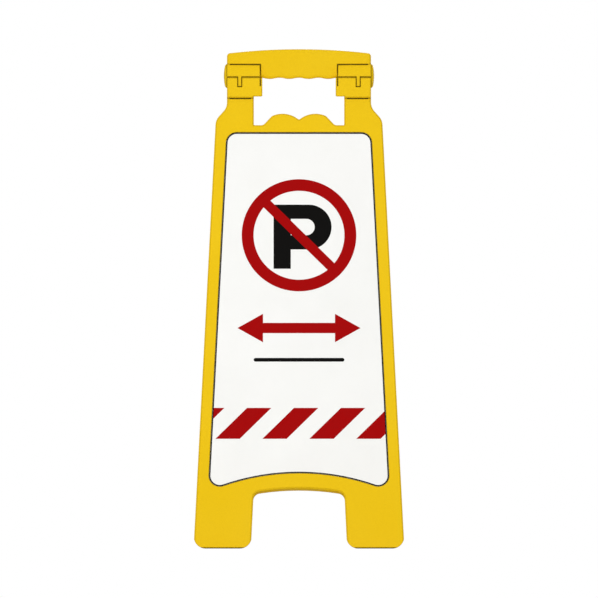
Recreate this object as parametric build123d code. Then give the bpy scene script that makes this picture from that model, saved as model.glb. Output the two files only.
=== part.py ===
from build123d import *
import os
from math import acos, cos, degrees, radians, sin, sqrt, tan

# A folding A-frame floor sign: two identical moulded leaves turn on pins in the barrels of a carrying handle.
# Millimetres and degrees, +Z up, origin on the floor under the middle of the open sign, front towards -Y.
# The handle and a leaf are drawn about the hinge axis, which runs along X, with the leaf hanging upright
# as in the folded sign. Depths count forwards from the axis and drops count downwards from it.

# Stance
AXIS_HEIGHT = 630.0
OPEN_TILT = 12.0
FOLD_GAP = 0.8

# Hinge barrels and pins
BARREL_RADIUS = 16.0
BARREL_WALL = 2.8
BARREL_CLEARANCE = 0.4
BARREL_END = 96.0
BROW_RADIUS = 18.2
BROW_GAP = 1.3
BROW_LINE_HEIGHT = 15.4
BROW_LINE_END = 92.0
GRIP_HALF = 51.8
PIN_RADIUS = 3.0
PIN_SADDLE_CLEARANCE = 0.05
PIN_RUNNING_CLEARANCE = 0.1
PIN_END_CLEARANCE = 0.2
PIN_CHAMFER = 0.5
INNER_WEB = 6.0
INNER_SADDLE = 4.0
OUTER_WEB = 6.0
KEY_PLACE = 79.0
KEY_WIDTH = 4.6
KEY_CLEARANCE = 0.9
KEY_SINK = 1.2
KEY_EDGE = 1.0
KEY_WEB_MARGIN = 0.5
STOP_CLEARANCE = 0.3
LUG_WALL = 6.0
LUG_CLEARANCE = 0.4
LIP_MARGIN = 6.0

# End caps
CAP_RIM = 2.6
CAP_CROWN = 1.6
CAP_EDGE = 2.0
CAP_SPIGOT_RADIUS = 7.0
CAP_SPIGOT_LENGTH = 3.0
CAP_CLEARANCE = 0.05

# Handle
HANDLE_CROWN = 35.7
HANDLE_END_TOP = 30.0
HANDLE_CORNER = 4.5
HANDLE_HALF_THICKNESS = 12.0
HANDLE_END_HALF_THICKNESS = 9.5
HANDLE_WALL = 2.8
HANDLE_EDGE_RADIUS = 4.0
GRIP_DROP = 3.2
FINGER_WAVES = 4
FINGER_WAVE_HEIGHT = 1.6
GRIP_SCREW_PLACE = (30.0, 17.0)
END_SCREW_PLACE = (70.0, 21.8)
SCREW_RADIUS = 1.5
SCREW_CLEARANCE = 0.05
SCREW_HEAD_RADIUS = 2.8
SCREW_HEAD_HEIGHT = 2.0
SCREW_HEAD_CLEARANCE = 0.4
SCREW_SEAT = 6.0
SCREW_REACH = 6.0
SCREW_BOSS_WALL = 2.0
SCREW_RECESS_LENGTH = 3.2
SCREW_RECESS_WIDTH = 0.8
SCREW_RECESS_DEPTH = 1.2

# Leaf outline
NECK_HALF = BARREL_END
SHOULDER_HALF = 111.0
FOOT_HALF = 140.6
FLARE_TOP = 46.0
FLARE_BOTTOM = 63.0
FLARE_RADIUS = 18.0
HAND_GAP_HALF = 60.3
HAND_GAP_FLOOR = 70.2
HAND_GAP_CORNER = 1.0
KNUCKLE_HUMP_PLACE = 22.0
KNUCKLE_HUMP_RADIUS = 33.0
KNUCKLE_HUMP_RISE = 15.7
KNUCKLE_HUMP_HALF = 14.0
KNUCKLE_HUMP_FLANK = 47.0
KNUCKLE_HUMP_CORNER = 6.0
KNUCKLE_VALLEY_CORNER = 2.0
LEG_GAP_RISE = 82.2
LEG_GAP_ARCH = 5.5
LEG_GAP_TOP_HALF = 60.6
LEG_GAP_FLOOR_HALF = 64.3
LEG_GAP_CORNER = 10.0
FOOT_CORNER = 15.5

# Leaf walls
FACE_WALL = 3.0
RIM_WALL = 2.8
LEAF_EDGE = 1.5
PAN_WALL = 2.5
RIB_WALL = 2.0
RIB_SINK = 3.0
RIB_COLUMNS = 5
RIB_COLUMN_PITCH = 44.0
RIB_ROWS = 8
RIB_ROW_PITCH = 70.0

# Hinge blocks of the leaf
BLOCK_TOP = 6.1
BLOCK_BOTTOM = 33.3
BLOCK_LIP_BOTTOM = 32.0
BLOCK_LIP_CORNER = 2.4
BLOCK_WALL = 2.6
BLOCK_EDGE = 1.0
BLOCK_END_CLEARANCE = 0.3
GROOVE_BOTTOM = 17.8
GROOVE_WIDTH = 1.4
GROOVE_DEPTH = 1.4
NECK_LINE_INSET = 3.7
NOTCH_BOTTOM = 19.0
LUG_FOOT_GAP = 3.0

# Sign field, sheet and tape
FIELD_BORDER = 15.2
FIELD_TOP = 80.0
FIELD_RISE = 77.0
FIELD_ARCH = 25.6
FIELD_TOP_CORNER = 14.5
FIELD_BOTTOM_CORNER = 14.8
FIELD_DEPTH = 2.0
SHEET_THICKNESS = 1.0
SHEET_GAP = 0.6
TAPE_THICKNESS = 0.4
TAPE_WIDTH = 15.0
TAPE_MARGIN = 8.0
TAPE_ROWS = 5

# Margins that keep faces from lying on each other
CORNER_MARGIN = 0.4
NEAR = 0.01

# Worked out from the sizes above
TILT = radians(OPEN_TILT)
FACE = BARREL_RADIUS
BACK = FOLD_GAP / 2
BLOCK_INSIDE = BARREL_RADIUS + BARREL_CLEARANCE
BLOCK_FACE = BLOCK_INSIDE + BLOCK_WALL
BLOCK_INNER = GRIP_HALF - BLOCK_END_CLEARANCE - BLOCK_WALL
BLOCK_SHELF = BLOCK_LIP_BOTTOM - BLOCK_WALL - BLOCK_FACE * tan(TILT)
LINE_PLACE = BLOCK_INNER + BLOCK_WALL
FOOT_DROP = (AXIS_HEIGHT + FACE * sin(TILT)) / cos(TILT)
LEG_GAP_TOP = FOOT_DROP - LEG_GAP_RISE
FIELD_BOTTOM = FOOT_DROP - FIELD_RISE
SIDE_SLOPE = (FOOT_HALF - SHOULDER_HALF) / (FOOT_DROP - FLARE_BOTTOM)
LEG_GAP_SLOPE = (LEG_GAP_FLOOR_HALF - LEG_GAP_TOP_HALF) / (LEG_GAP_RISE - LEG_GAP_ARCH)
BARREL_INSIDE = BARREL_RADIUS - BARREL_WALL
LUG_RADIUS = PIN_RADIUS + LUG_WALL
BARREL_LIP = degrees(acos(LUG_RADIUS / BARREL_INSIDE)) - OPEN_TILT - LIP_MARGIN
KEY_WEB_HALF = KEY_WIDTH / 2 + KEY_CLEARANCE + KEY_WEB_MARGIN
INNER_POCKET = (GRIP_HALF + INNER_WEB, KEY_PLACE - KEY_WEB_HALF)
OUTER_POCKET = (KEY_PLACE + KEY_WEB_HALF, BARREL_END - OUTER_WEB)
LUG_WIDTH = OUTER_POCKET[1] - OUTER_POCKET[0] - 2 * LUG_CLEARANCE
FIELD_FLOOR = FACE - FIELD_DEPTH


def slab(profile, near, far):
    """Solid from an outline in X and Z, between two depths."""
    return extrude(Plane.XZ.offset(near) * profile, far - near)


def bar(profile, start, end):
    """Solid from a section in Y and Z, between two places along the hinge axis."""
    return extrude(Plane.YZ.offset(start) * profile, end - start)


def round_bar(radius, start, end):
    """Cylinder about the hinge axis, between two places along it."""
    return bar(Circle(radius), start, end)


def both_sides(shape):
    """The shape together with its mirror image on the other side of the sign."""
    return shape + mirror(shape, about=Plane.YZ)


def mirrored(half):
    """Closed run of points from those of the right half, top to bottom."""
    return half + [(-x, z) for x, z in reversed(half)]


def polygon(points):
    """Flat face with straight edges."""
    return make_face(Polyline(*points, close=True))


def round_corners(face, corners, radius):
    """Round the corners at the given points and at their mirror images."""
    chosen = [
        vertex
        for vertex in face.vertices()
        if any(abs(abs(vertex.X) - x) < NEAR and abs(vertex.Y - z) < NEAR for x, z in corners)
    ]
    return fillet(chosen, radius)


def side_half(drop):
    """Half width of the leaf at a drop below the axis, along its straight taper."""
    return SHOULDER_HALF + SIDE_SLOPE * (drop - FLARE_BOTTOM)


def foot():
    """Front view of the right foot of an open leaf, a little wider than the leaf, with round corners."""
    rise = 3 * FOOT_CORNER
    outer = FOOT_HALF + CORNER_MARGIN
    inner = LEG_GAP_FLOOR_HALF - CORNER_MARGIN
    corners = [(outer, -AXIS_HEIGHT), (inner, -AXIS_HEIGHT)]
    sides = ((inner, LEG_GAP_SLOPE), (outer, SIDE_SLOPE))
    top = [(x - slope * rise, rise - AXIS_HEIGHT) for x, slope in sides]
    return round_corners(polygon(corners + top), corners, FOOT_CORNER)


def off_feet(wall):
    """All that lies under or beside the feet of an open leaf, less a wall, as seen from a hanging leaf."""
    reach = 2 * AXIS_HEIGHT
    ground = Pos(0, FOOT_CORNER - AXIS_HEIGHT) * Rectangle(reach, reach, align=(Align.CENTER, Align.MAX))
    return Rot(OPEN_TILT, 0, 0) * slab(ground - both_sides(offset(foot(), -wall)), -reach / 2, reach / 2)


def stood_up(shape):
    """A hanging leaf, or a piece of it, opened to its tilt and lifted to the height of the axis."""
    return Pos(0, 0, AXIS_HEIGHT) * Rot(-OPEN_TILT, 0, 0) * shape


def turned_round(shape):
    """The same piece on the rear leaf."""
    return Rot(0, 0, 180) * shape


def knuckle_hump():
    """One of the two rounded rises in the floor of the hand gap."""
    top = KNUCKLE_HUMP_RISE - HAND_GAP_FLOOR
    valley = top - KNUCKLE_HUMP_RADIUS + sqrt(KNUCKLE_HUMP_RADIUS**2 - KNUCKLE_HUMP_PLACE**2)
    shoulder = top - KNUCKLE_HUMP_RADIUS + sqrt(KNUCKLE_HUMP_RADIUS**2 - KNUCKLE_HUMP_HALF**2)
    shoulder_x = KNUCKLE_HUMP_PLACE + KNUCKLE_HUMP_HALF
    foot_x = shoulder_x + (shoulder + HAND_GAP_FLOOR) / tan(radians(KNUCKLE_HUMP_FLANK))
    base = -(HAND_GAP_FLOOR + FIELD_TOP) / 2
    edges = [
        ThreePointArc((0, valley), (KNUCKLE_HUMP_PLACE, top), (shoulder_x, shoulder)),
        Polyline((shoulder_x, shoulder), (foot_x, -HAND_GAP_FLOOR), (foot_x, base), (0, base), (0, valley)),
    ]
    return make_face(edges), [(shoulder_x, shoulder), (foot_x, -HAND_GAP_FLOOR)], [(0, valley)]


def leg_gap():
    """Arched opening between the two feet of a leaf."""
    corner = -(LEG_GAP_TOP + LEG_GAP_ARCH)
    edges = [
        ThreePointArc((-LEG_GAP_TOP_HALF, corner), (0, -LEG_GAP_TOP), (LEG_GAP_TOP_HALF, corner)),
        Polyline(
            (LEG_GAP_TOP_HALF, corner),
            (LEG_GAP_FLOOR_HALF, -FOOT_DROP),
            (-LEG_GAP_FLOOR_HALF, -FOOT_DROP),
            (-LEG_GAP_TOP_HALF, corner),
        ),
    ]
    return make_face(edges), [(LEG_GAP_TOP_HALF, corner)]


def leaf_outline():
    """Front outline of a leaf below its hinge blocks."""
    half = [
        (HAND_GAP_HALF, -HAND_GAP_FLOOR),
        (HAND_GAP_HALF, -BLOCK_SHELF),
        (NECK_HALF, -BLOCK_SHELF),
        (NECK_HALF, -FLARE_TOP),
        (SHOULDER_HALF, -FLARE_BOTTOM),
        (FOOT_HALF, -FOOT_DROP),
    ]
    hump, hump_corners, valley = knuckle_hump()
    gap, gap_corners = leg_gap()
    outline = polygon(mirrored(half)) + both_sides(hump) - gap
    outline = round_corners(outline, half[3:5], FLARE_RADIUS)
    outline = round_corners(outline, half[:1], HAND_GAP_CORNER)
    outline = round_corners(outline, hump_corners, KNUCKLE_HUMP_CORNER)
    outline = round_corners(outline, valley, KNUCKLE_VALLEY_CORNER)
    return round_corners(outline, gap_corners, LEG_GAP_CORNER)


def field_outline():
    """Outline of the sunk field that holds the sign sheet."""
    top = (side_half(FIELD_TOP) - FIELD_BORDER, -FIELD_TOP)
    bottom = (side_half(FIELD_BOTTOM) - FIELD_BORDER, -FIELD_BOTTOM)
    edges = [
        Polyline((-bottom[0], bottom[1]), (-top[0], top[1]), top, bottom),
        ThreePointArc(bottom, (0, FIELD_ARCH - FIELD_BOTTOM), (-bottom[0], bottom[1])),
    ]
    outline = round_corners(make_face(edges), [top], FIELD_TOP_CORNER)
    return round_corners(outline, [bottom], FIELD_BOTTOM_CORNER)


def rib_pattern():
    """Upright and level ribs on the back of a leaf, from the hand gap to the floor."""
    middle = -(HAND_GAP_FLOOR + FOOT_DROP) / 2
    height = FOOT_DROP - HAND_GAP_FLOOR
    columns = GridLocations(RIB_COLUMN_PITCH, 0, RIB_COLUMNS, 1)
    rows = GridLocations(0, RIB_ROW_PITCH, 1, RIB_ROWS)
    ribs = Sketch() + columns * Rectangle(RIB_WALL, height) + rows * Rectangle(2 * FOOT_HALF, RIB_WALL)
    return Pos(0, middle) * ribs


def hinge_block():
    """Right-hand block on the neck of a leaf, before it is hollowed."""
    outline = polygon(
        [
            (BLOCK_INNER, -BLOCK_TOP),
            (NECK_HALF, -BLOCK_TOP),
            (NECK_HALF, -BLOCK_BOTTOM),
            (HAND_GAP_HALF, -BLOCK_BOTTOM),
            (HAND_GAP_HALF, -BLOCK_LIP_BOTTOM),
            (BLOCK_INNER, -BLOCK_LIP_BOTTOM),
        ]
    )
    block = slab(outline, BACK, BLOCK_FACE)
    block = chamfer(block.faces().sort_by(Axis.Y)[0].edges(), BLOCK_EDGE)
    groove = Pos((LINE_PLACE, -GROOVE_BOTTOM)) * Rectangle(
        GROOVE_WIDTH, GROOVE_BOTTOM, align=(Align.CENTER, Align.MIN)
    )
    return block - slab(groove, BLOCK_FACE - GROOVE_DEPTH, BLOCK_FACE) - under_lip()


def under_lip():
    """Room round the inner lip of the right-hand block, whose underside is level on an open leaf."""
    level = BLOCK_FACE * sin(TILT) - BLOCK_LIP_BOTTOM * cos(TILT)
    top = level + BLOCK_LIP_CORNER
    corner = (BLOCK_INNER - CORNER_MARGIN, level)
    lip = polygon([corner, (HAND_GAP_HALF, level), (HAND_GAP_HALF, top), (corner[0], top)])
    room = Pos(HAND_GAP_HALF, top) * Rectangle(HAND_GAP_HALF, BLOCK_FACE, align=(Align.MAX, Align.MAX))
    room = room - round_corners(lip, [corner], BLOCK_LIP_CORNER - NEAR)
    return Rot(OPEN_TILT, 0, 0) * slab(room, -BLOCK_FACE, 2 * BLOCK_FACE)


def neck_line():
    """Shut line in the face of the right-hand neck, just under its block."""
    line = Pos(((HAND_GAP_HALF + NECK_HALF) / 2, -BLOCK_BOTTOM)) * Rectangle(
        NECK_HALF - HAND_GAP_HALF - 2 * NECK_LINE_INSET, GROOVE_WIDTH, align=(Align.CENTER, Align.MAX)
    )
    return slab(line, FACE - GROOVE_DEPTH, FACE)


def hinge_block_hollow():
    """Room inside the right-hand block for the barrel, with the notch for its stop key."""
    room = Pos(((BLOCK_INNER + NECK_HALF) / 2, -BLOCK_SHELF)) * Rectangle(
        NECK_HALF - BLOCK_INNER - 2 * BLOCK_WALL, BLOCK_SHELF, align=(Align.CENTER, Align.MIN)
    )
    notch = Pos((KEY_PLACE, -NOTCH_BOTTOM)) * Rectangle(
        KEY_WIDTH + 2 * KEY_CLEARANCE, NOTCH_BOTTOM, align=(Align.CENTER, Align.MIN)
    )
    barrel_room = round_bar(BLOCK_INSIDE, BLOCK_INNER + BLOCK_WALL, NECK_HALF)
    return slab(room, BACK, BLOCK_INSIDE) + slab(notch, BACK, BLOCK_FACE) + barrel_room


def hinge_lug(pocket_place):
    """Eye of a leaf that turns on the pin, with the web that joins it to the block."""
    foot_top = -(BARREL_RADIUS + LUG_FOOT_GAP)
    shelf = -BLOCK_SHELF - NEAR
    web = polygon(
        [
            (-BACK, 0),
            (-LUG_RADIUS, 0),
            (-LUG_RADIUS, foot_top),
            (-BLOCK_INSIDE - NEAR, foot_top),
            (-BLOCK_INSIDE - NEAR, shelf),
            (-BACK, shelf),
        ]
    )
    section = Circle(LUG_RADIUS) + web - Circle(PIN_RADIUS + PIN_RUNNING_CLEARANCE)
    return bar(section, pocket_place, pocket_place + LUG_WIDTH)


def leaf():
    """One leaf, hanging from the axis with its sign to the front."""
    outline = leaf_outline()
    inside = offset(outline, -RIM_WALL)
    field = field_outline()
    body = slab(outline, BACK, FACE)
    body = chamfer(body.faces().sort_by(Axis.Y)[0].edges(), LEAF_EDGE)
    body = body + both_sides(hinge_block())
    body = body - (slab(inside, BACK, FACE - FACE_WALL) - off_feet(RIM_WALL))
    body = body - both_sides(hinge_block_hollow()) - both_sides(neck_line())
    pan = slab(offset(field, PAN_WALL), FIELD_FLOOR - PAN_WALL, FACE - NEAR)
    ribs = slab(rib_pattern() & inside, BACK + RIB_SINK, FACE - FACE_WALL)
    body = body + pan + ribs - slab(field, FIELD_FLOOR, FACE) - off_feet(0)
    right_lug = hinge_lug(INNER_POCKET[1] - LUG_CLEARANCE - LUG_WIDTH)
    left_lug = mirror(hinge_lug(OUTER_POCKET[0] + LUG_CLEARANCE), about=Plane.YZ)
    return body + right_lug + left_lug


def sign_sheet():
    """Printed sheet that lies on the tape in the field of a leaf."""
    back = FIELD_FLOOR + TAPE_THICKNESS
    return slab(offset(field_outline(), -SHEET_GAP), back, back + SHEET_THICKNESS)


def sheet_tape():
    """Strips of tape between a sheet and the floor of its field."""
    room = offset(field_outline(), -TAPE_MARGIN)
    top = -FIELD_TOP - TAPE_MARGIN - TAPE_WIDTH / 2
    bottom = FIELD_ARCH - FIELD_BOTTOM + TAPE_MARGIN + TAPE_WIDTH / 2
    pitch = (top - bottom) / (TAPE_ROWS - 1)
    strips = Sketch() + GridLocations(0, pitch, 1, TAPE_ROWS) * Rectangle(2 * FOOT_HALF, TAPE_WIDTH)
    strips = Pos(0, (top + bottom) / 2) * strips
    return slab(strips & room, FIELD_FLOOR, FIELD_FLOOR + TAPE_THICKNESS)


def finger_wave():
    """Underside of the grip, waves of equal arcs from one barrel to the other."""
    pitch = 2 * GRIP_HALF / FINGER_WAVES
    quarter = pitch / 4
    rise = FINGER_WAVE_HEIGHT / 2
    radius = (quarter**2 + rise**2) / (2 * rise)
    edges = []
    for count in range(2 * FINGER_WAVES + 1):
        sign = 1 if count % 2 == 0 else -1
        crest = -GRIP_HALF + count * pitch / 2
        start = max(crest - quarter, -GRIP_HALF)
        end = min(crest + quarter, GRIP_HALF)
        points = [
            (x, sign * (rise - radius + sqrt(radius**2 - (x - crest) ** 2)) - GRIP_DROP)
            for x in (start, (start + end) / 2, end)
        ]
        edges.append(ThreePointArc(*points))
    return edges


def handle_outline():
    """Front outline of the handle bar, whose ends run into the barrels."""
    wave = finger_wave()
    wave_end = (wave[-1] @ 1).Y
    sunk = GRIP_HALF + INNER_WEB / 2
    middle = BARREL_RADIUS / 2
    end_top = (BARREL_END, HANDLE_END_TOP)
    end_run = [end_top, (BARREL_END, middle), (sunk, middle), (sunk, wave_end), (GRIP_HALF, wave_end)]
    edges = [
        ThreePointArc((-BARREL_END, HANDLE_END_TOP), (0, HANDLE_CROWN), end_top),
        Polyline(*end_run),
        *wave,
        Polyline(*[(-x, z) for x, z in reversed(end_run)]),
    ]
    return round_corners(make_face(edges), [end_top], HANDLE_CORNER)


def handle_plan():
    """Plan of the handle, thicker in the middle than at its ends."""
    front = [
        (-BARREL_END, -HANDLE_END_HALF_THICKNESS),
        (0, -HANDLE_HALF_THICKNESS),
        (BARREL_END, -HANDLE_END_HALF_THICKNESS),
    ]
    back = [(x, -y) for x, y in reversed(front)]
    edges = [ThreePointArc(*front), Line(front[2], back[0]), ThreePointArc(*back), Line(back[2], front[0])]
    return make_face(edges)


def tall(plan):
    """Upright solid with the given plan, taller than the handle."""
    return extrude(plan, HANDLE_CROWN + BARREL_RADIUS, both=True)


def handle_bar(outline, plan):
    """Solid with the given front outline and plan."""
    return slab(outline, -BARREL_RADIUS, BARREL_RADIUS) & tall(plan)


def barrel():
    """Right-hand barrel, with a thicker brow that ends just over the top of an open hinge block."""
    block_top = BLOCK_FACE * sin(TILT) - BLOCK_TOP * cos(TILT)
    above = Pos(0, block_top + BROW_GAP) * Rectangle(
        2 * BROW_RADIUS, 2 * BROW_RADIUS, align=(Align.CENTER, Align.MIN)
    )
    return bar(Circle(BARREL_RADIUS) + (Circle(BROW_RADIUS) & above), GRIP_HALF, BARREL_END)


def brow_line(plan):
    """Shut lines in both faces of the handle, over the right-hand brow and down its inner end."""
    half = GROOVE_WIDTH / 2
    low, high = BROW_LINE_HEIGHT - half, BROW_LINE_HEIGHT + half
    left, right = LINE_PLACE - half, LINE_PLACE + half
    outline = polygon(
        [
            (left, -BARREL_RADIUS),
            (right, -BARREL_RADIUS),
            (right, low),
            (BROW_LINE_END, low),
            (BROW_LINE_END, high),
            (left, high),
        ]
    )
    return slab(outline, -2 * BARREL_RADIUS, 2 * BARREL_RADIUS) - tall(offset(plan, -GROOVE_DEPTH))


def lug_pocket(start, end):
    """Room in a barrel for the eyes of the leaves, open below so that they can swing."""
    reach = 2 * BARREL_RADIUS
    lip = (reach * cos(radians(BARREL_LIP)), -reach * sin(radians(BARREL_LIP)))
    mouth = polygon([(0, 0), lip, (lip[0], -reach), (-lip[0], -reach), (-lip[0], lip[1])])
    return bar(Circle(BARREL_INSIDE) + mouth, start, end)


def stop_key():
    """Tongues under a brow that fill the notches of the open leaves and stop them from opening further."""
    top = -BLOCK_TOP / 2
    bottom = STOP_CLEARANCE - NOTCH_BOTTOM
    depth = BLOCK_FACE - KEY_SINK
    edge = [(-depth, bottom + KEY_EDGE), (KEY_EDGE - depth, bottom)]
    tongue = polygon([(0, 0), (-BARREL_INSIDE, top), (-depth, top), *edge, (-depth / 2, bottom)])
    front = Rot(-OPEN_TILT, 0, 0) * bar(tongue, KEY_PLACE - KEY_WIDTH / 2, KEY_PLACE + KEY_WIDTH / 2)
    return front + mirror(front, about=Plane.XZ)


def at_screws(profile):
    """Copies of a flat profile at the four handle screws."""
    places = [(sign * x, z) for x, z in (GRIP_SCREW_PLACE, END_SCREW_PLACE) for sign in (-1, 1)]
    return Sketch() + Locations(*places) * profile


def handle():
    """The whole hollow handle with its barrels, before it is parted into two shells."""
    outline, plan = handle_outline(), handle_plan()
    grip = handle_bar(outline, plan)
    faces = grip.faces().filter_by(GeomType.CYLINDER).sort_by(Axis.Y)
    grip = fillet(faces[0].edges() + faces[-1].edges(), HANDLE_EDGE_RADIUS)
    barrels = both_sides(barrel())
    body = grip + barrels + both_sides(stop_key())
    saddle_start = GRIP_HALF + INNER_WEB - INNER_SADDLE
    bores = round_bar(PIN_RADIUS + PIN_SADDLE_CLEARANCE, saddle_start, BARREL_END)
    bores = bores + round_bar(CAP_SPIGOT_RADIUS + CAP_CLEARANCE, BARREL_END - CAP_SPIGOT_LENGTH, BARREL_END)
    bosses = slab(at_screws(Circle(SCREW_RADIUS + SCREW_BOSS_WALL)), 0, HANDLE_HALF_THICKNESS)
    head_room = SCREW_HEAD_RADIUS + SCREW_HEAD_CLEARANCE
    bosses = bosses + slab(at_screws(Circle(head_room + SCREW_BOSS_WALL)), -HANDLE_HALF_THICKNESS, 0)
    hollow = handle_bar(offset(outline, -HANDLE_WALL), offset(plan, -HANDLE_WALL)) - barrels - bosses
    hole = Circle(SCREW_RADIUS + SCREW_CLEARANCE)
    holes = slab(at_screws(hole), -SCREW_SEAT, SCREW_REACH + SCREW_HEAD_CLEARANCE)
    holes = holes + slab(at_screws(Circle(head_room)), -HANDLE_HALF_THICKNESS, -SCREW_SEAT)
    pockets = lug_pocket(*INNER_POCKET) + lug_pocket(*OUTER_POCKET)
    return body - hollow - holes - both_sides(brow_line(plan)) - both_sides(pockets + bores)


def handle_shells():
    """Front and rear shells of the handle, which close over the hinge pins."""
    whole = handle()
    reach = 4 * BARREL_END
    half_space = Box(reach, reach, reach, align=(Align.CENTER, Align.MAX, Align.CENTER))
    return whole & half_space, whole & mirror(half_space, about=Plane.XZ)


def handle_screws():
    """The four screws, put in from the rear, with cross-shaped recesses in their heads."""
    shank = slab(at_screws(Circle(SCREW_RADIUS)), -SCREW_SEAT, SCREW_REACH)
    top = -SCREW_SEAT - SCREW_HEAD_HEIGHT
    head = slab(at_screws(Circle(SCREW_HEAD_RADIUS)), top, -SCREW_SEAT)
    arm = Rectangle(SCREW_RECESS_LENGTH, SCREW_RECESS_WIDTH)
    cross = slab(at_screws(arm + Rot(0, 0, 90) * arm), top, top + SCREW_RECESS_DEPTH)
    return shank + head - cross


def hinge_pin():
    """Right-hand steel pin, held between the shells from its inner saddle to the end cap."""
    start = GRIP_HALF + INNER_WEB - INNER_SADDLE + PIN_END_CLEARANCE
    end = BARREL_END - CAP_SPIGOT_LENGTH - PIN_END_CLEARANCE
    pin = round_bar(PIN_RADIUS, start, end)
    return chamfer(pin.edges().filter_by(GeomType.CIRCLE), PIN_CHAMFER)


def end_cap():
    """Right-hand domed cap, whose spigot plugs the end of the barrel."""
    rim = BARREL_END + CAP_RIM
    top = rim + CAP_CROWN
    dome_half = BARREL_RADIUS - CAP_EDGE
    dome_radius = (dome_half**2 + CAP_CROWN**2) / (2 * CAP_CROWN)
    between = (top - dome_radius + sqrt(dome_radius**2 - (dome_half / 2) ** 2), dome_half / 2)
    bevel = [(rim - CAP_EDGE, BARREL_RADIUS), (rim, dome_half)]
    edges = [
        Polyline((top, 0), (BARREL_END, 0), (BARREL_END, BARREL_RADIUS), *bevel),
        ThreePointArc((rim, dome_half), between, (top, 0)),
    ]
    cap = revolve(make_face(edges), Axis.X)
    return cap + round_bar(CAP_SPIGOT_RADIUS, BARREL_END - CAP_SPIGOT_LENGTH, BARREL_END)


def lifted(shape):
    """A piece of the handle at the height of the axis."""
    return Pos(0, 0, AXIS_HEIGHT) * shape


def main():
    """Write every piece, standing open on the floor, to its own file."""
    front_shell, rear_shell = handle_shells()
    pieces = {
        "handle_front_shell": lifted(front_shell),
        "handle_rear_shell": lifted(rear_shell),
        "handle_screws": lifted(handle_screws()),
    }
    for name, shape in {"hinge_pin": hinge_pin(), "end_cap": end_cap()}.items():
        pieces[f"right_{name}"] = lifted(shape)
        pieces[f"left_{name}"] = lifted(mirror(shape, about=Plane.YZ))
    for name, shape in {"leaf": leaf(), "sign_sheet": sign_sheet(), "sheet_tape": sheet_tape()}.items():
        pieces[f"front_{name}"] = stood_up(shape)
        pieces[f"rear_{name}"] = turned_round(stood_up(shape))
    os.makedirs("parts", exist_ok=True)
    for name, shape in pieces.items():
        export_step(shape, f"parts/{name}.step")


if __name__ == "__main__":
    main()
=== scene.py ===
"""Looks of a folding floor stand sign: moulded plastic, printed sheets and a plain studio."""

import logging
import math
from dataclasses import dataclass, field
from enum import Enum
from typing import Any

import bmesh
import bpy
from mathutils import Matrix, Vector


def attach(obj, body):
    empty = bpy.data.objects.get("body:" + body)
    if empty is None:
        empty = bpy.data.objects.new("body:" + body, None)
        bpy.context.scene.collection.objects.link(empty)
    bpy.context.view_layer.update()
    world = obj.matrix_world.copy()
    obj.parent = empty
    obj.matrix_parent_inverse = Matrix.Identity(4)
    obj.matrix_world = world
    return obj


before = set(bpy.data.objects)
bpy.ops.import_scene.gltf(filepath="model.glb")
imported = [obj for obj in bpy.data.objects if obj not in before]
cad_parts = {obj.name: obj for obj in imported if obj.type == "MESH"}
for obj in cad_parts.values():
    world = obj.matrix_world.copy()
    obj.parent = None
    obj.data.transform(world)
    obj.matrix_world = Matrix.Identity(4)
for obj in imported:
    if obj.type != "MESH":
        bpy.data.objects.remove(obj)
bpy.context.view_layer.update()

LOG = logging.getLogger("stand_sign")
MM = 0.001

# Places on a sheet are millimetres across and up, from the middle of its top edge.
Point = tuple[float, float]
Loop = list[Point]

# Sockets of the colour form of Blender's mix node, which share their names with other forms.
MIX_FACTOR, MIX_FIRST, MIX_SECOND, MIX_RESULT = 0, 6, 7, 2

# Blender's wave turns by 20 radians over one unit of its scale, and a band is a whole turn.
WAVE_BAND = math.tau / 20

# A face of a sheet is its front where its normal is at least this near to the way that the leaf
# faces, as the cosine between them.
FACING_SHARE = 0.9

# Decimals of a millimetre that places on a sheet are rounded to, so that split vertices agree.
PLACE_DECIMALS = 4


class Side(Enum):
    """The two leaves of the sign, each with the way that it faces."""

    FRONT = "front"
    REAR = "rear"

    @property
    def outward(self) -> Vector:
        """Level direction that the leaf faces."""
        return Vector((0.0, -1.0 if self is Side.FRONT else 1.0, 0.0))


class InkColour(Enum):
    """Inks of the print, by their sRGB colours."""

    RED = "#A30102"
    BLACK = "#070605"


def linear(code: str) -> tuple[float, float, float, float]:
    """Turn an sRGB hex colour to linear light, with the numbers of the sRGB standard.

    Args:
        code: Colour as a hash sign and six hex digits.

    Returns:
        Red, green, blue and a full alpha.
    """
    shares = [int(code[place:place + 2], 16) / 255 for place in (1, 3, 5)]
    red, green, blue = [
        share / 12.92 if share <= 0.04045 else ((share + 0.055) / 1.055) ** 2.4 for share in shares
    ]
    return red, green, blue, 1.0


def per_metre(size: float) -> float:
    """Texture scale that gives features of a size in millimetres."""
    return 1 / (size * MM)


def add_node(
    tree: bpy.types.NodeTree,
    kind: str,
    inputs: dict[str | int, Any] | None = None,
    **settings: Any,
) -> bpy.types.Node:
    """Add one node to a tree, with its settings, socket values and links.

    Args:
        tree: Tree that gets the node.
        kind: Blender's name for the type of node.
        inputs: Plain value, or socket to link from, for each input.
        settings: Properties of the node itself.

    Returns:
        The new node.
    """
    node = tree.nodes.new(kind)
    for name, value in settings.items():
        setattr(node, name, value)
    for key, value in (inputs or {}).items():
        if isinstance(value, bpy.types.NodeSocket):
            tree.links.new(value, node.inputs[key])
        else:
            node.inputs[key].default_value = value
    return node


def new_tree(name: str) -> tuple[bpy.types.Material, bpy.types.NodeTree]:
    """Start a material with an empty node tree.

    Args:
        name: Name of the material.

    Returns:
        The material and its tree.
    """
    material = bpy.data.materials.new(name)
    material.use_nodes = True
    material.node_tree.nodes.clear()
    return material, material.node_tree


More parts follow.
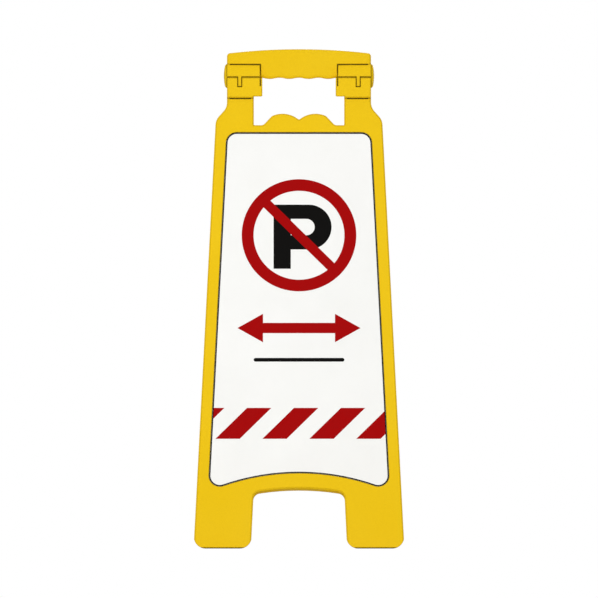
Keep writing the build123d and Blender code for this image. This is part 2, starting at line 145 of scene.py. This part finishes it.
def looked_at(tree: bpy.types.NodeTree) -> bpy.types.NodeSocket:
    """Tell rays of the camera, straight or by way of gloss or glass, from rays of light.

    Args:
        tree: Tree that gets the nodes.

    Returns:
        Socket that gives 1 for a ray from the camera and 0 for any other.
    """
    path = add_node(tree, "ShaderNodeLightPath")
    seen = path.outputs["Is Camera Ray"]
    for kind in ("Is Glossy Ray", "Is Transmission Ray"):
        either = add_node(
            tree, "ShaderNodeMath", {0: seen, 1: path.outputs[kind]}, operation="MAXIMUM"
        )
        seen = either.outputs["Value"]
    return seen


@dataclass(frozen=True)
class Shade:
    """Shade over a colour, from none at the start of a measure of the surface to its full share."""

    colour: str
    start: float
    full: float
    share: float


@dataclass(frozen=True)
class MouldedPolypropylene:
    """Yellow polypropylene, injection moulded in a spark-eroded tool."""

    # The eroded tool leaves a fine, even grain, so the plastic looks nearly matt and its colour
    # stays flat. Thick walls cool unevenly and mottle a little. Shade is painted along the edges
    # and in the seams and inner corners, so both draw thin darker lines round each moulding.
    colour: str = "#F6CC10"
    mottle_colour: str = "#F2C70D"
    ior: float = 1.49
    specular_level: float = 0.1
    roughness_low: float = 0.56
    roughness_high: float = 0.7
    # Real grain is about 0.2 mm wide, too fine to show here, so it is drawn at four times that.
    grain_width: float = 0.8
    grain_depth: float = 0.09
    mottle_width: float = 90.0
    mottle_detail: float = 4.0
    # The noise hardly leaves this band, so the roughness runs from end to end of it.
    mottle_low: float = 0.3
    mottle_high: float = 0.7
    # Pits hold a little shade, by the height of the grain.
    pits: Shade = Shade("#D8AC00", start=0.55, full=0.3, share=0.25)
    # Painted shade along the edges goes by how far the normal, softened over this radius, leaves
    # the true one, as the cosine between them.
    edge_radius: float = 1.4
    edge_shade: Shade = Shade("#7A5606", start=0.9995, full=0.95, share=0.45)
    # Painted shade in the seams and inner corners goes by the share of open air within this
    # reach of a point.
    seam_reach: float = 2.6
    seam_samples: int = 8
    seam_shade: Shade = Shade("#241903", start=0.93, full=0.4, share=0.95)

    def build(self) -> bpy.types.Material:
        """Make the material with its grain, mottle, and painted shade on its edges and in its
        seams.

        Returns:
            The material.
        """
        material, tree = new_tree("moulded_polypropylene_yellow")
        place = add_node(tree, "ShaderNodeTexCoord").outputs["Object"]
        grain = add_node(
            tree, "ShaderNodeTexNoise", {"Vector": place, "Scale": per_metre(self.grain_width)}
        )
        mottle = add_node(
            tree,
            "ShaderNodeTexNoise",
            {"Vector": place, "Scale": per_metre(self.mottle_width), "Detail": self.mottle_detail},
        )
        soft = add_node(tree, "ShaderNodeBevel", {"Radius": self.edge_radius * MM})
        true = add_node(tree, "ShaderNodeNewGeometry")
        likeness = add_node(
            tree,
            "ShaderNodeVectorMath",
            {0: soft.outputs["Normal"], 1: true.outputs["Normal"]},
            operation="DOT_PRODUCT",
        )
        openness = add_node(
            tree,
            "ShaderNodeAmbientOcclusion",
            {"Distance": self.seam_reach * MM},
            samples=self.seam_samples,
        )
        colour = add_node(
            tree,
            "ShaderNodeMix",
            {
                MIX_FACTOR: mottle.outputs["Fac"],
                MIX_FIRST: linear(self.colour),
                MIX_SECOND: linear(self.mottle_colour),
            },
            data_type="RGBA",
        )
        # Each layer darkens the colour by its measure: painted shade in the grain's pits, along the
        # edges, and in the seams and inner corners.
        for shade, measure in (
            (self.pits, grain.outputs["Fac"]),
            (self.edge_shade, likeness.outputs["Value"]),
            (self.seam_shade, openness.outputs["AO"]),
        ):
            amount = add_node(
                tree,
                "ShaderNodeMapRange",
                {
                    "Value": measure,
                    "From Min": shade.start,
                    "From Max": shade.full,
                    "To Max": shade.share,
                },
            )
            colour = add_node(
                tree,
                "ShaderNodeMix",
                {
                    MIX_FACTOR: amount.outputs["Result"],
                    MIX_FIRST: colour.outputs[MIX_RESULT],
                    MIX_SECOND: linear(shade.colour),
                },
                data_type="RGBA",
            )
        roughness = add_node(
            tree,
            "ShaderNodeMapRange",
            {
                "Value": mottle.outputs["Fac"],
                "From Min": self.mottle_low,
                "From Max": self.mottle_high,
                "To Min": self.roughness_low,
                "To Max": self.roughness_high,
            },
        )
        bump = add_node(
            tree,
            "ShaderNodeBump",
            {
                "Distance": self.grain_depth * MM,
                "Height": grain.outputs["Fac"],
                "Normal": soft.outputs["Normal"],
            },
        )
        shader = add_node(
            tree,
            "ShaderNodeBsdfPrincipled",
            {
                "Base Color": colour.outputs[MIX_RESULT],
                "Roughness": roughness.outputs["Result"],
                "IOR": self.ior,
                "Specular IOR Level": self.specular_level,
                "Normal": bump.outputs["Normal"],
            },
        )
        add_node(tree, "ShaderNodeOutputMaterial", {"Surface": shader.outputs["BSDF"]})
        return material


@dataclass(frozen=True)
class CalenderedPvc:
    """White rigid PVC sheet, rolled to size between polished calender rolls."""

    # Rolling leaves a smooth satin face with a faint, long orange peel that breaks up reflections.
    colour: str = "#FAFAF8"
    haze_colour: str = "#F4F4F1"
    ior: float = 1.53
    specular_level: float = 0.2
    roughness_low: float = 0.3
    roughness_high: float = 0.4
    peel_width: float = 5.0
    peel_detail: float = 1.0
    peel_depth: float = 0.01
    haze_width: float = 60.0
    haze_detail: float = 3.0

    def build(self) -> bpy.types.Material:
        """Make the material with its orange peel and faint haze.

        Returns:
            The material.
        """
        material, tree = new_tree("calendered_pvc_white")
        place = add_node(tree, "ShaderNodeTexCoord").outputs["Object"]
        peel = add_node(
            tree,
            "ShaderNodeTexNoise",
            {"Vector": place, "Scale": per_metre(self.peel_width), "Detail": self.peel_detail},
        )
        haze = add_node(
            tree,
            "ShaderNodeTexNoise",
            {"Vector": place, "Scale": per_metre(self.haze_width), "Detail": self.haze_detail},
        )
        colour = add_node(
            tree,
            "ShaderNodeMix",
            {
                MIX_FACTOR: haze.outputs["Fac"],
                MIX_FIRST: linear(self.colour),
                MIX_SECOND: linear(self.haze_colour),
            },
            data_type="RGBA",
        )
        roughness = add_node(
            tree,
            "ShaderNodeMapRange",
            {
                "Value": haze.outputs["Fac"],
                "To Min": self.roughness_low,
                "To Max": self.roughness_high,
            },
        )
        bump = add_node(
            tree,
            "ShaderNodeBump",
            {"Distance": self.peel_depth * MM, "Height": peel.outputs["Fac"]},
        )
        shader = add_node(
            tree,
            "ShaderNodeBsdfPrincipled",
            {
                "Base Color": colour.outputs[MIX_RESULT],
                "Roughness": roughness.outputs["Result"],
                "IOR": self.ior,
                "Specular IOR Level": self.specular_level,
                "Normal": bump.outputs["Normal"],
            },
        )
        add_node(tree, "ShaderNodeOutputMaterial", {"Surface": shader.outputs["BSDF"]})
        return material


@dataclass(frozen=True)
class ScreenInk:
    """Solvent ink, screen printed on the sheet in one solid colour."""

    # The squeegee lays a solid film whose density wanders a little, and mesh marks dull its gloss.
    tone: InkColour
    thin_share: float = 0.12
    ior: float = 1.5
    specular_level: float = 0.03
    roughness_low: float = 0.42
    roughness_high: float = 0.55
    # A real screen has threads about 0.15 mm apart, too fine to show here, so they are drawn at
    # ten times that, on a grid that strays a little.
    mesh_spacing: float = 1.5
    mesh_stray: float = 0.2
    mesh_depth: float = 0.004
    density_width: float = 14.0
    density_detail: float = 5.0

    def build(self) -> bpy.types.Material:
        """Make the material with its wandering density and mesh marks.

        Returns:
            The material.
        """
        material, tree = new_tree(f"screen_ink_{self.tone.name.lower()}")
        place = add_node(tree, "ShaderNodeTexCoord").outputs["Object"]
        density = add_node(
            tree,
            "ShaderNodeTexNoise",
            {
                "Vector": place,
                "Scale": per_metre(self.density_width),
                "Detail": self.density_detail,
            },
        )
        marks = add_node(
            tree,
            "ShaderNodeTexVoronoi",
            {"Vector": place, "Scale": per_metre(self.mesh_spacing), "Randomness": self.mesh_stray},
        )
        full = linear(self.tone.value)
        thin = tuple(share + self.thin_share * (1 - share) * share for share in full[:3]) + (1.0,)
        colour = add_node(
            tree,
            "ShaderNodeMix",
            {MIX_FACTOR: density.outputs["Fac"], MIX_FIRST: full, MIX_SECOND: thin},
            data_type="RGBA",
        )
        roughness = add_node(
            tree,
            "ShaderNodeMapRange",
            {
                "Value": density.outputs["Fac"],
                "To Min": self.roughness_low,
                "To Max": self.roughness_high,
            },
        )
        bump = add_node(
            tree,
            "ShaderNodeBump",
            {"Distance": self.mesh_depth * MM, "Height": marks.outputs["Distance"]},
        )
        shader = add_node(
            tree,
            "ShaderNodeBsdfPrincipled",
            {
                "Base Color": colour.outputs[MIX_RESULT],
                "Roughness": roughness.outputs["Result"],
                "IOR": self.ior,
                "Specular IOR Level": self.specular_level,
                "Normal": bump.outputs["Normal"],
            },
        )
        add_node(tree, "ShaderNodeOutputMaterial", {"Surface": shader.outputs["BSDF"]})
        return material


@dataclass(frozen=True)
class ZincPlatedSteel:
    """Mild steel, turned or headed, then bright zinc plated."""

    # Plating leaves a bluish grey shine with a cloudy bloom, over fine marks of the turning tool.
    colour: str = "#C6CACC"
    bloom_colour: str = "#A9AFB3"
    metallic: float = 1.0
    roughness_low: float = 0.24
    roughness_high: float = 0.42
    bloom_width: float = 3.0
    bloom_detail: float = 4.0
    turning_pitch: float = 0.35
    turning_wander: float = 1.0
    turning_depth: float = 0.004

    def build(self) -> bpy.types.Material:
        """Make the material with its bloom and turning marks.

        Returns:
            The material.
        """
        material, tree = new_tree("zinc_plated_steel")
        place = add_node(tree, "ShaderNodeTexCoord").outputs["Object"]
        bloom = add_node(
            tree,
            "ShaderNodeTexNoise",
            {"Vector": place, "Scale": per_metre(self.bloom_width), "Detail": self.bloom_detail},
        )
        turning = add_node(
            tree,
            "ShaderNodeTexWave",
            {
                "Vector": place,
                "Scale": per_metre(self.turning_pitch) * WAVE_BAND,
                "Distortion": self.turning_wander,
            },
            bands_direction="X",
        )
        colour = add_node(
            tree,
            "ShaderNodeMix",
            {
                MIX_FACTOR: bloom.outputs["Fac"],
                MIX_FIRST: linear(self.colour),
                MIX_SECOND: linear(self.bloom_colour),
            },
            data_type="RGBA",
        )
        roughness = add_node(
            tree,
            "ShaderNodeMapRange",
            {
                "Value": bloom.outputs["Fac"],
                "To Min": self.roughness_low,
                "To Max": self.roughness_high,
            },
        )
        bump = add_node(
            tree,
            "ShaderNodeBump",
            {"Distance": self.turning_depth * MM, "Height": turning.outputs["Fac"]},
        )
        shader = add_node(
            tree,
            "ShaderNodeBsdfPrincipled",
            {
                "Base Color": colour.outputs[MIX_RESULT],
                "Metallic": self.metallic,
                "Roughness": roughness.outputs["Result"],
                "Normal": bump.outputs["Normal"],
            },
        )
        add_node(tree, "ShaderNodeOutputMaterial", {"Surface": shader.outputs["BSDF"]})
        return material


@dataclass(frozen=True)
class AcrylicFoamTape:
    """White acrylic foam tape, cast with closed cells and slit to width."""

    # Cut foam is dull and chalky, with cells that show as pits along its sides.
    colour: str = "#E4E2DA"
    cell_colour: str = "#CFCCC2"
    ior: float = 1.48
    roughness: float = 0.85
    cell_width: float = 0.5
    cell_depth: float = 0.05

    def build(self) -> bpy.types.Material:
        """Make the material with its foam cells.

        Returns:
            The material.
        """
        material, tree = new_tree("acrylic_foam_tape")
        place = add_node(tree, "ShaderNodeTexCoord").outputs["Object"]
        cells = add_node(
            tree, "ShaderNodeTexVoronoi", {"Vector": place, "Scale": per_metre(self.cell_width)}
        )
        colour = add_node(
            tree,
            "ShaderNodeMix",
            {
                MIX_FACTOR: cells.outputs["Distance"],
                MIX_FIRST: linear(self.cell_colour),
                MIX_SECOND: linear(self.colour),
            },
            data_type="RGBA",
        )
        bump = add_node(
            tree,
            "ShaderNodeBump",
            {"Distance": self.cell_depth * MM, "Height": cells.outputs["Distance"]},
        )
        shader = add_node(
            tree,
            "ShaderNodeBsdfPrincipled",
            {
                "Base Color": colour.outputs[MIX_RESULT],
                "Roughness": self.roughness,
                "IOR": self.ior,
                "Normal": bump.outputs["Normal"],
            },
        )
        add_node(tree, "ShaderNodeOutputMaterial", {"Surface": shader.outputs["BSDF"]})
        return material


@dataclass(frozen=True)
class PaperSweep:
    """Uncoated white paper, rolled out as a studio floor."""

    # Felt-side paper is matt and even, with a soft tooth that only shows close by.
    # Far from the sign it rolls up into the white surroundings, and looks as white as they do.
    colour: str = "#F2F2F0"
    tooth_colour: str = "#EDEDEB"
    roughness: float = 0.9
    specular_level: float = 0.1
    tooth_width: float = 3.0
    roll_start: float = 350.0
    roll_end: float = 1300.0

    def build(self) -> bpy.types.Material:
        """Make the material with its tooth and its fade to white.

        Returns:
            The material.
        """
        material, tree = new_tree("paper_sweep_white")
        place = add_node(tree, "ShaderNodeTexCoord").outputs["Object"]
        tooth = add_node(
            tree, "ShaderNodeTexNoise", {"Vector": place, "Scale": per_metre(self.tooth_width)}
        )
        colour = add_node(
            tree,
            "ShaderNodeMix",
            {
                MIX_FACTOR: tooth.outputs["Fac"],
                MIX_FIRST: linear(self.colour),
                MIX_SECOND: linear(self.tooth_colour),
            },
            data_type="RGBA",
        )
        shader = add_node(
            tree,
            "ShaderNodeBsdfPrincipled",
            {
                "Base Color": colour.outputs[MIX_RESULT],
                "Roughness": self.roughness,
                "Specular IOR Level": self.specular_level,
            },
        )
        distance = add_node(tree, "ShaderNodeVectorMath", {0: place}, operation="LENGTH")
        rolled = add_node(
            tree,
            "ShaderNodeMapRange",
            {
                "Value": distance.outputs["Value"],
                "From Min": self.roll_start * MM,
                "From Max": self.roll_end * MM,
                "To Max": looked_at(tree),
            },
            interpolation_type="SMOOTHSTEP",
        )
        # Emission of strength 1, which the node starts with, is plain white.
        white = add_node(tree, "ShaderNodeEmission")
        surface = add_node(
            tree,
            "ShaderNodeMixShader",
            {0: rolled.outputs["Result"], 1: shader.outputs["BSDF"], 2: white.outputs["Emission"]},
        )
        add_node(tree, "ShaderNodeOutputMaterial", {"Surface": surface.outputs["Shader"]})
        return material


class Finishes:
    """Every finish of the sign, built once."""

    def __init__(self) -> None:
        """Build the materials."""
        self.plastic = MouldedPolypropylene().build()
        self.sheet = CalenderedPvc().build()
        self.steel = ZincPlatedSteel().build()
        self.tape = AcrylicFoamTape().build()
        self.inks = {tone: ScreenInk(tone).build() for tone in InkColour}


def dress(material: bpy.types.Material, *names: str) -> None:
    """Give CAD nodes one finish.

    Args:
        material: Finish for every material slot of the nodes.
        names: Names of the nodes.
    """
    for name in names:
        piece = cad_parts[name]
        for slot in piece.material_slots:
            slot.material = material
        LOG.info("%s: %s", name, material.name)


def arc(centre: Point, radius: float, start: float, end: float, steps: int) -> Loop:
    """Points along an arc.

    Args:
        centre: Middle of the circle.
        radius: Radius of the circle.
        start: Angle of the first point, in degrees from across.
        end: Angle of the last point, in degrees from across.
        steps: Number of chords.

    Returns:
        The points, both ends included.
    """
    turns = [math.radians(start + (end - start) * count / steps) for count in range(steps + 1)]
    return [
        (centre[0] + radius * math.cos(turn), centre[1] + radius * math.sin(turn)) for turn in turns
    ]


def inset(loop: Loop, distance: float) -> Loop:
    """Move an anticlockwise loop inwards, with mitred corners.

    Args:
        loop: Points of the loop.
        distance: How far each side moves.

    Returns:
        The moved points.
    """
    moved = []
    for before, here, after in zip(loop[-1:] + loop[:-1], loop, loop[1:] + loop[:1]):
        arriving = (Vector(here) - Vector(before)).normalized()
        leaving = (Vector(after) - Vector(here)).normalized()
        first, second = arriving.orthogonal(), leaving.orthogonal()
        mitre = (first + second) / (1 + first.dot(second))
        moved.append(tuple(Vector(here) + mitre * distance))
    return moved


def left_of(loop: Loop, start: Point, end: Point) -> Loop:
    """Cut a convex loop along a line and keep what lies on the line's left.

    Args:
        loop: Points of the loop.
        start: A point of the line.
        end: A later point of the line.

    Returns:
        Points of the part that is kept.
    """
    inwards = (Vector(end) - Vector(start)).orthogonal()
    kept = []
    for here, after in zip(loop, loop[1:] + loop[:1]):
        here_side = inwards.dot(Vector(here) - Vector(start))
        after_side = inwards.dot(Vector(after) - Vector(start))
        if here_side >= 0:
            kept.append(here)
        if here_side * after_side < 0:
            share = here_side / (here_side - after_side)
            kept.append(tuple(Vector(here).lerp(Vector(after), share)))
    return kept


class SheetFace:
    """Printed face of a sign sheet, read from its solid."""

    def __init__(self, side: Side) -> None:
        """Find the plane and the outline of the face.

        Args:
            side: Leaf that carries the sheet.
        """
        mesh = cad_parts[f"{side.value}_sign_sheet"].data
        fronts = [face for face in mesh.polygons if face.normal.dot(side.outward) > FACING_SHARE]
        self.out = max(fronts, key=lambda face: face.area).normal.copy()
        upright = Vector((0.0, 0.0, 1.0))
        self.up = (upright - upright.dot(self.out) * self.out).normalized()
        self.across = self.up.cross(self.out)
        corners = [mesh.vertices[index].co for face in fronts for index in face.vertices]
        top = max(corner.dot(self.up) for corner in corners)
        self.origin = top * self.up + corners[0].dot(self.out) * self.out
        self.outline = self._boundary(mesh, fronts)

    def _flat(self, point: Vector) -> Point:
        """Place of a point of the frame on the face, rounded so that split vertices agree."""
        gap = (point - self.origin) / MM
        return round(gap.dot(self.across), PLACE_DECIMALS), round(gap.dot(self.up), PLACE_DECIMALS)

    def _boundary(self, mesh: bpy.types.Mesh, faces: list[bpy.types.MeshPolygon]) -> Loop:
        """Chain the edges that only one face uses.

        Args:
            mesh: Mesh of the sheet.
            faces: Its front faces.

        Returns:
            The outline of the faces, anticlockwise.
        """
        runs = set()
        for face in faces:
            corners = [self._flat(mesh.vertices[index].co) for index in face.vertices]
            runs.update(zip(corners, corners[1:] + corners[:1]))
        following = {start: end for start, end in runs if (end, start) not in runs}
        loop = [next(iter(sorted(following)))]
        while following[loop[-1]] != loop[0]:
            loop.append(following[loop[-1]])
        return loop

    def half_width(self, level: float) -> float:
        """Half the width of the face at a level.

        Args:
            level: Height from the top edge, negative because it lies below.

        Returns:
            Distance from the middle to the right side.
        """
        crossings = [
            here[0] + (after[0] - here[0]) * (level - here[1]) / (after[1] - here[1])
            for here, after in zip(self.outline, self.outline[1:] + self.outline[:1])
            if (here[1] - level) * (after[1] - level) < 0
        ]
        return max(crossings)

    def place(self, point: Point, lift: float) -> Vector:
        """Point of the frame at a place on the face, lifted off it by some millimetres."""
        return self.origin + (point[0] * self.across + point[1] * self.up + lift * self.out) * MM


@dataclass
class SignPrint:
    """Films of ink on one sign sheet, in millimetres, with drops from the top edge."""

    side: Side
    finishes: Finishes
    # Real ink is thinner, and is drawn this thick so that each colour lies clearly over the last.
    # It sinks a little into the sheet, so that no gap shows under it.
    film: float = 0.1
    sink: float = 0.02
    # Ring with its slash.
    ring_drop: float = 139.8
    ring_radius: float = 76.4
    ring_width: float = 15.8
    slash_width: float = 12.9
    slash_angle: float = 45.0
    # Letter of the parking symbol, with places across from the middle of the sheet.
    letter_drop: float = 98.1
    letter_height: float = 87.3
    stem_left: float = -33.9
    stem_right: float = -11.0
    bowl_right: float = 43.4
    bowl_height: float = 61.0
    counter_drop: float = 19.3
    counter_right: float = 20.9
    counter_height: float = 22.4
    # Double-headed arrow and the rule under it.
    arrow_drop: float = 266.2
    arrow_half: float = 82.0
    arrow_head: float = 34.0
    arrow_head_half: float = 19.4
    arrow_shaft_half: float = 7.0
    rule_drop: float = 309.5
    rule_half: float = 60.5
    rule_width: float = 5.0
    # Warning stripes, which lean by as much as they are tall.
    stripe_drop: float = 375.1
    stripe_height: float = 42.1
    stripe_width: float = 32.4
    stripe_pitch: float = 62.6
    stripe_start: float = -174.0
    stripe_count: int = 5
    # Line round the edge of the sheet.
    border_margin: float = 0.1
    border_width: float = 1.5
    circle_steps: int = 144
    face: SheetFace = field(init=False)

    def __post_init__(self) -> None:
        """Read the face that takes the print."""
        self.face = SheetFace(self.side)

    def build(self) -> None:
        """Make every film, the red ring last so that its slash crosses the letter."""
        black, red = InkColour.BLACK, InkColour.RED
        self._film("border_line", [self._border()], black, self.film)
        self._film("parking_letter", [self._letter()], black, self.film)
        self._film("rule", [[self._rule()]], black, self.film)
        self._film("arrow", [[self._arrow()]], red, self.film)
        self._film("warning_stripes", [[stripe] for stripe in self._stripes()], red, self.film)
        self._film("prohibition_ring", [self._ring()], red, 2 * self.film)

    def _film(self, name: str, areas: list[list[Loop]], tone: InkColour, top: float) -> None:
        """Make one piece of print from its areas.

        Args:
            name: Name of the piece, without its side.
            areas: Outline and holes of each area.
            tone: Ink of the piece.
            top: Height of the film over the sheet.
        """
        mesh = bpy.data.meshes.new(f"{self.side.value}_{name}")
        shape = bmesh.new()
        for loops in areas:
            self._area(shape, loops, top)
        bmesh.ops.recalc_face_normals(shape, faces=shape.faces)
        shape.to_mesh(mesh)
        shape.free()
        mesh.materials.append(self.finishes.inks[tone])
        piece = bpy.data.objects.new(mesh.name, mesh)
        bpy.context.scene.collection.objects.link(piece)
        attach(piece, f"{self.side.value}_leaf")
        LOG.info("%s: %s, %d faces", piece.name, mesh.materials[0].name, len(mesh.polygons))

    def _area(self, shape: bmesh.types.BMesh, loops: list[Loop], top: float) -> None:
        """Add one closed film with straight sides to a shape.

        Args:
            shape: Shape that gets the film.
            loops: Outline and holes of the film.
            top: Height of the film over the sheet.
        """
        edges = []
        for loop in loops:
            rim = [shape.verts.new(self.face.place(point, -self.sink)) for point in loop]
            edges += [shape.edges.new(ends) for ends in zip(rim, rim[1:] + rim[:1])]
        fill = bmesh.ops.triangle_fill(shape, use_beauty=True, edges=edges)
        under = [part for part in fill["geom"] if isinstance(part, bmesh.types.BMFace)]
        raised = bmesh.ops.extrude_face_region(shape, geom=under, use_keep_orig=True)
        corners = [part for part in raised["geom"] if isinstance(part, bmesh.types.BMVert)]
        bmesh.ops.translate(shape, verts=corners, vec=self.face.out * (top + self.sink) * MM)

    def _border(self) -> list[Loop]:
        """Thin line round the edge of the sheet."""
        outer = inset(self.face.outline, self.border_margin)
        return [outer, inset(self.face.outline, self.border_margin + self.border_width)]

    def _letter(self) -> list[Loop]:
        """Plain block letter of the parking symbol, with its counter.

        Returns:
            Outline and counter.
        """
        top = -self.letter_drop
        bottom = top - self.letter_height
        bowl = self.bowl_height / 2
        counter = self.counter_height / 2
        bowl_middle = (self.bowl_right - bowl, top - bowl)
        counter_middle = (self.counter_right - counter, top - self.counter_drop - counter)
        steps = self.circle_steps // 2
        outer = [
            (self.stem_left, top),
            (self.stem_left, bottom),
            (self.stem_right, bottom),
            (self.stem_right, top - self.bowl_height),
            *arc(bowl_middle, bowl, -90, 90, steps),
        ]
        inner = [
            (self.stem_right, counter_middle[1] + counter),
            (self.stem_right, counter_middle[1] - counter),
            *arc(counter_middle, counter, -90, 90, steps),
        ]
        return [outer, inner]

    def _ring(self) -> list[Loop]:
        """Ring with a slash from its upper left to its lower right.

        Returns:
            Outline and the two openings.
        """
        middle = (0.0, -self.ring_drop)
        inside = self.ring_radius - self.ring_width
        reach = math.degrees(math.acos(self.slash_width / 2 / inside))
        outer = arc(middle, self.ring_radius, 0, 360, self.circle_steps)[:-1]
        openings = [
            arc(middle, inside, turn - reach, turn + reach, self.circle_steps // 2)
            for turn in (self.slash_angle, self.slash_angle + 180)
        ]
        return [outer, *openings]

    def _arrow(self) -> Loop:
        """Level arrow with a head at each end.

        Returns:
            Outline.
        """
        neck = self.arrow_half - self.arrow_head
        quarter = [
            (neck, self.arrow_shaft_half),
            (neck, self.arrow_head_half),
            (self.arrow_half, 0.0),
        ]
        right = [(x, -y) for x, y in quarter] + quarter[1::-1]
        return [(x, y - self.arrow_drop) for x, y in right + [(-x, -y) for x, y in right]]

    def _rule(self) -> Loop:
        """Plain rule with round ends.

        Returns:
            Outline.
        """
        end = self.rule_width / 2
        steps = self.circle_steps // 4
        right = arc((self.rule_half - end, -self.rule_drop), end, -90, 90, steps)
        return right + arc((end - self.rule_half, -self.rule_drop), end, 90, 270, steps)

    def _stripes(self) -> list[Loop]:
        """Leaning stripes, cut off at the sides of the sheet inside the border line.

        Returns:
            Outline of each stripe.
        """
        top = -self.stripe_drop
        bottom = top - self.stripe_height
        margin = self.border_margin + self.border_width
        low, high = self.face.half_width(bottom) - margin, self.face.half_width(top) - margin
        stripes = []
        for count in range(self.stripe_count):
            left = self.stripe_start + count * self.stripe_pitch
            right = left + self.stripe_width
            lean = self.stripe_height
            stripe = [(left, bottom), (right, bottom), (right + lean, top), (left + lean, top)]
            stripe = left_of(stripe, (low, bottom), (high, top))
            stripes.append(left_of(stripe, (-high, top), (-low, bottom)))
        return stripes


@dataclass
class Leaf:
    """One moulded leaf with its sheet, the tape behind it and the print on it."""

    side: Side
    finishes: Finishes

    def build(self) -> None:
        """Dress the leaf and print its sheet."""
        side = self.side.value
        dress(self.finishes.plastic, f"{side}_leaf")
        dress(self.finishes.sheet, f"{side}_sign_sheet")
        dress(self.finishes.tape, f"{side}_sheet_tape")
        SignPrint(self.side, self.finishes).build()


@dataclass
class Handle:
    """Carrying handle with its two shells, screws, hinge pins and end caps."""

    finishes: Finishes

    def build(self) -> None:
        """Dress the handle's pieces."""
        dress(self.finishes.plastic, "handle_front_shell", "handle_rear_shell")
        dress(self.finishes.plastic, "left_end_cap", "right_end_cap")
        dress(self.finishes.steel, "handle_screws", "left_hinge_pin", "right_hinge_pin")


@dataclass(frozen=True)
class Softbox:
    """Square area lamp that looks at the middle of the sign, in metres and watts."""

    name: str
    place: tuple[float, float, float]
    side: float
    power: float


@dataclass
class Studio:
    """Paper floor, soft lamps, white surroundings and a level camera, with sizes in metres."""

    softboxes: tuple[Softbox, ...] = (
        Softbox("front_softbox", (-0.5, -3.0, 1.3), 1.6, 45.0),
        Softbox("rear_softbox", (0.5, 3.0, 1.3), 1.6, 45.0),
        Softbox("top_softbox", (0.0, 0.0, 3.2), 1.6, 14.0),
    )
    ambient: float = 0.4
    background: str = "#FFFFFF"
    floor_radius: float = 12.0
    floor_steps: int = 96
    # The view is 598 pixels of 1.3333 mm high, as the photograph is, with the floor at row 548.5.
    view_height: float = 0.79733
    view_middle: float = 0.33267
    camera_distance: float = 3.0

    def build(self) -> None:
        """Set up the floor, the lamps, the world and the camera."""
        self._floor()
        for softbox in self.softboxes:
            self._lamp(softbox)
        self._world()
        self._camera()
        bpy.context.scene.view_settings.view_transform = "Standard"

    def _floor(self) -> None:
        """Lay a wide round floor under the feet."""
        mesh = bpy.data.meshes.new("studio_floor")
        shape = bmesh.new()
        bmesh.ops.create_circle(
            shape, cap_ends=True, radius=self.floor_radius, segments=self.floor_steps
        )
        shape.to_mesh(mesh)
        shape.free()
        mesh.materials.append(PaperSweep().build())
        floor = bpy.data.objects.new(mesh.name, mesh)
        bpy.context.scene.collection.objects.link(floor)
        LOG.info("%s: radius %.1f m", floor.name, self.floor_radius)

    def _lamp(self, softbox: Softbox) -> None:
        """Hang one softbox and turn it to the middle of the sign.

        Args:
            softbox: Lamp to hang.
        """
        light = bpy.data.lights.new(softbox.name, "AREA")
        light.shape = "SQUARE"
        light.size = softbox.side
        light.energy = softbox.power
        lamp = bpy.data.objects.new(softbox.name, light)
        lamp.location = softbox.place
        aim = Vector((0.0, 0.0, self.view_middle)) - lamp.location
        lamp.rotation_euler = aim.to_track_quat("-Z", "Y").to_euler()
        bpy.context.scene.collection.objects.link(lamp)
        LOG.info("%s: %.0f W", lamp.name, light.energy)

    def _world(self) -> None:
        """Fill the surroundings with soft light that the camera and reflections see as white."""
        world = bpy.data.worlds.new("white_surroundings")
        world.use_nodes = True
        tree = world.node_tree
        tree.nodes.clear()
        # A strength of 1, the most that this node gives, is plain white.
        strength = add_node(
            tree, "ShaderNodeMapRange", {"Value": looked_at(tree), "To Min": self.ambient}
        )
        surroundings = add_node(
            tree,
            "ShaderNodeBackground",
            {"Color": linear(self.background), "Strength": strength.outputs["Result"]},
        )
        add_node(tree, "ShaderNodeOutputWorld", {"Surface": surroundings.outputs["Background"]})
        bpy.context.scene.world = world
        LOG.info("%s: ambient %.2f", world.name, self.ambient)

    def _camera(self) -> None:
        """Stand a level camera with parallel sight lines straight in front of the sign."""
        lens = bpy.data.cameras.new("front_camera")
        lens.type = "ORTHO"
        lens.ortho_scale = self.view_height
        camera = bpy.data.objects.new(lens.name, lens)
        camera.location = (0.0, -self.camera_distance, self.view_middle)
        camera.rotation_euler = (math.radians(90), 0.0, 0.0)
        bpy.context.scene.collection.objects.link(camera)
        bpy.context.scene.camera = camera
        LOG.info("%s: %.3f m high view", camera.name, self.view_height)


def main() -> None:
    """Dress the sign piece by piece, then set up the studio around it."""
    logging.basicConfig(level=logging.INFO, format="%(name)s: %(message)s")
    finishes = Finishes()
    Handle(finishes).build()
    for side in Side:
        Leaf(side, finishes).build()
    Studio().build()


if __name__ == "__main__":
    main()
